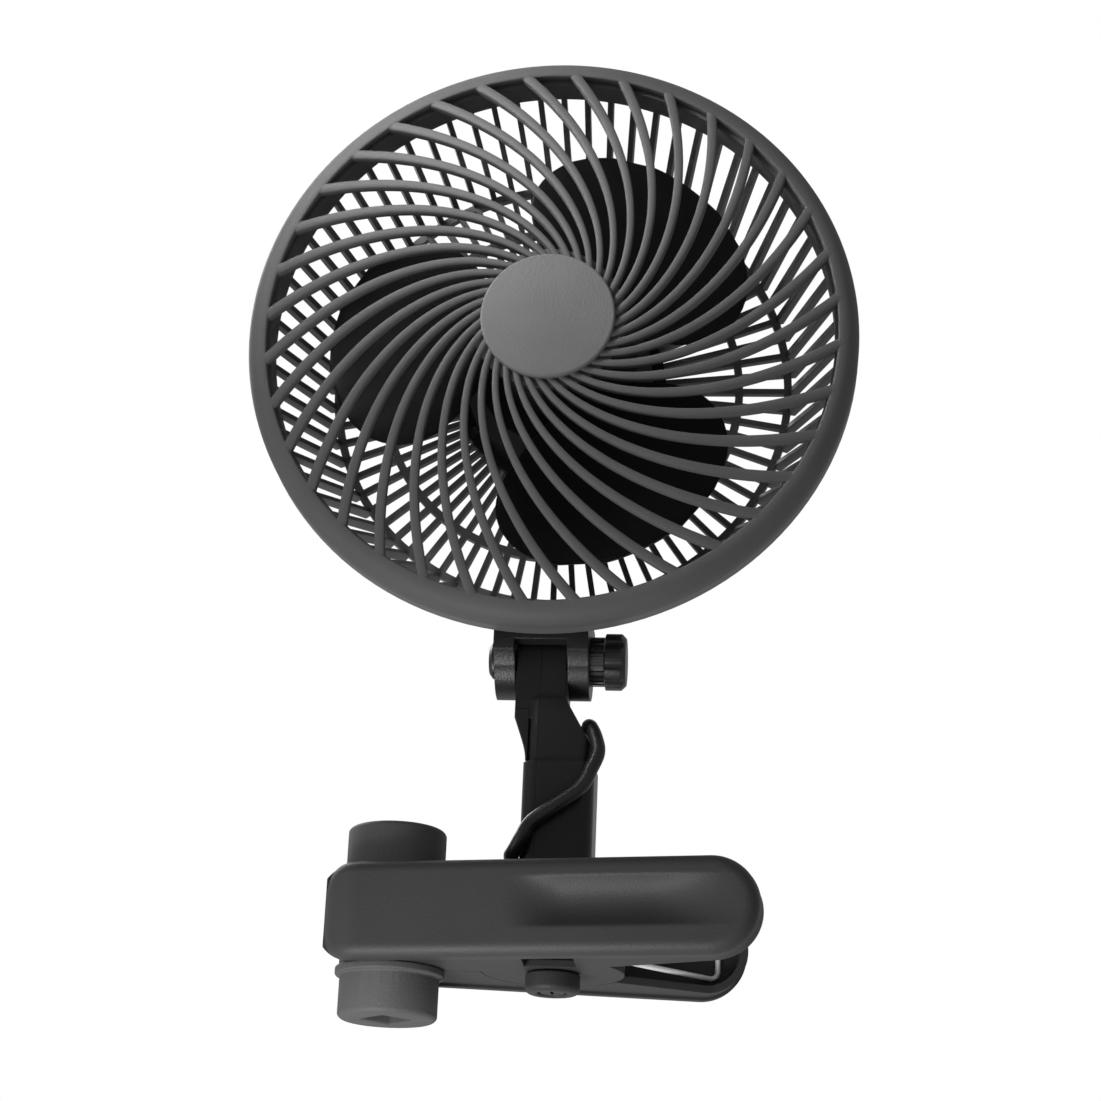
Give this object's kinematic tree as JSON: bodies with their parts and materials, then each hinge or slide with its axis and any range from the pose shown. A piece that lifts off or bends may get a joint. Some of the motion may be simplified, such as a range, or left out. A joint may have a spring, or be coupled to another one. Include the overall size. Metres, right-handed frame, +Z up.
{
  "type": "clip fan",
  "caption": "Clip fan with a domed spiral guard on a tilting, turning post and a spring clip whose grooved jaws grip a pole.",
  "frame": {"origin": "middle of the gripped pole, half way up the jaw sleeve", "axes": "+Z up along the gripped pole, the fan blows towards -Y, the handles point to +X"},
  "size_m": [0.181, 0.0953, 0.2899],
  "materials": {
    "black_plastic": "fine matte grain",
    "satin_plastic": "satin",
    "grille_plastic": "satin",
    "disc_plastic": "satin",
    "motor_plastic": "matte",
    "jaw_rubber": "soft matte",
    "bright_steel": "satin",
    "spring_steel": "drawn wire",
    "bush_plastic": "matte",
    "lead_rubber": "matte",
    "gloss_ring": "gloss",
    "stator_iron": "lacquered",
    "rotor_aluminium": "turned",
    "bearing_brass": "sintered",
    "blade_plastic": "satin gloss"
  },
  "bodies": {
    "clip": {"rear_lever": "black_plastic", "rear_cover": "satin_plastic", "rear_jaw_pad": "jaw_rubber", "pivot_pin": "bright_steel", "spring_bush": "bush_plastic", "pivot_cap": "black_plastic", "pivot_screw": "bright_steel", "clip_spring": "spring_steel"},
    "front_clip": {"front_lever": "black_plastic", "front_cover": "satin_plastic", "front_jaw_pad": "jaw_rubber"},
    "post": {"post_body": "satin_plastic", "post_side": "satin_plastic", "post_screws": "bright_steel", "motor_lead": "lead_rubber"},
    "head": {"tilt_fork": "black_plastic", "tilt_bolt": "bright_steel", "tooth_ring": "gloss_ring", "front_grille": "grille_plastic", "grille_disc": "disc_plastic", "rear_guard": "black_plastic", "guard_screws": "bright_steel", "motor_shell": "motor_plastic", "motor_cover": "motor_plastic", "cover_screws": "bright_steel", "stator": "stator_iron", "front_bearing": "bearing_brass", "rear_bearing": "bearing_brass"},
    "tilt_knob": {"tilt_knob": "black_plastic"},
    "speed_knob": {"speed_knob": "black_plastic"},
    "rotor": {"rotor": "rotor_aluminium", "motor_shaft": "bright_steel", "fan_blades": "blade_plastic", "blade_nut": "blade_plastic"}
  },
  "joints": [
    {"name": "clip_open", "type": "hinge", "parent": "clip", "child": "front_clip", "pos_m": [0.046, 0, 0], "axis": [0, 0, 1], "range_deg": [0, 20], "stiffness_Nm_per_rad": 1.2, "springref_deg": -20.05, "deforming": ["clip_spring"]},
    {"name": "post_turn", "type": "hinge", "parent": "clip", "child": "post", "pos_m": [0.046, 0, 0], "axis": [0, 0, 1], "range_deg": [-90, 90]},
    {"name": "head_tilt", "type": "hinge", "parent": "post", "child": "head", "pos_m": [0.04, 0, 0.0785], "axis": [-1, 0, 0], "range_deg": [-30, 75]},
    {"name": "knob_turn", "type": "hinge", "parent": "head", "child": "tilt_knob", "pos_m": [0.04, 0, 0.0785], "axis": [1, 0, 0], "range_deg": [-180, 180]},
    {"name": "speed_turn", "type": "hinge", "parent": "head", "child": "speed_knob", "pos_m": [0.04, 0, 0.1574], "axis": [0, 1, 0], "range_deg": [0, 90]},
    {"name": "blade_spin", "type": "hinge", "parent": "head", "child": "rotor", "pos_m": [0.04, -0.028, 0.1724], "axis": [0, 1, 0], "continuous": true}
  ]
}
